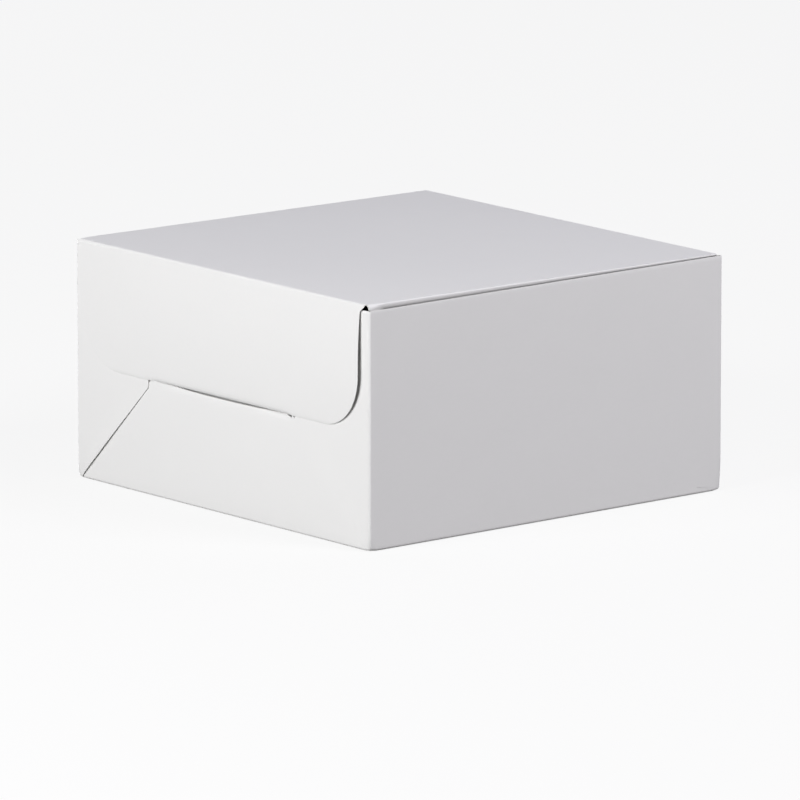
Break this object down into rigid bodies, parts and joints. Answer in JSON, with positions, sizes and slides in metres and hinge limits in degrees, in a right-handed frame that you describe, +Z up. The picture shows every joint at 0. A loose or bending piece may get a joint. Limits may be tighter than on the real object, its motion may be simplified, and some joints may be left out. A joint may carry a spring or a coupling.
{
  "type": "cake box",
  "caption": "Square paperboard cake box, folded and glued, with a hinged lid whose front flap tucks a tongue into a slit in the front wall.",
  "frame": {"origin": "middle of the bottom of the closed box's bounding box, on the surface that it stands on", "axes": "+Z up, -Y towards the front with the lid's front flap, +X towards the right wall"},
  "size_m": [0.254, 0.254, 0.1348],
  "materials": {
    "white_board": "smooth white coated face, satin; the face turned inside is uncoated and a little greyer",
    "glue": "dried white glue, slightly glossy"
  },
  "bodies": {
    "tray": {"base_panel": "white_board", "front_wall": "white_board", "left_wall": "white_board", "right_wall": "white_board", "back_wall": "white_board", "front_left_gusset": "white_board", "front_right_gusset": "white_board", "front_left_ear": "white_board", "front_right_ear": "white_board", "back_left_ear_web": "white_board", "back_right_ear_web": "white_board", "back_left_ear_tab": "white_board", "back_right_ear_tab": "white_board", "glue_front_left": "glue", "glue_front_right": "glue", "glue_back_left": "glue", "glue_back_right": "glue"},
    "lid": {"lid_panel": "white_board"},
    "front_flap": {"lid_front_flap": "white_board", "lid_tongue": "white_board"},
    "left_flap": {"lid_left_flap": "white_board"},
    "right_flap": {"lid_right_flap": "white_board"}
  },
  "joints": [
    {"name": "lid_hinge", "type": "hinge", "parent": "tray", "child": "lid", "pos_m": [0, 0.12588, 0.13188], "axis": [-1, 0, 0], "range_deg": [0, 180]},
    {"name": "front_flap_fold", "type": "hinge", "parent": "lid", "child": "front_flap", "pos_m": [0, -0.12468, 0.13448], "axis": [-1, 0, 0], "range_deg": [0, 90], "deforming": ["lid_tongue"]},
    {"name": "left_flap_fold", "type": "hinge", "parent": "lid", "child": "left_flap", "pos_m": [-0.12525, 0, 0.13055], "axis": [0, -0.9999, 0.0105], "range_deg": [0, 90]},
    {"name": "right_flap_fold", "type": "hinge", "parent": "lid", "child": "right_flap", "pos_m": [0.12525, 0, 0.13055], "axis": [0, 0.9999, -0.0105], "range_deg": [0, 90]}
  ]
}
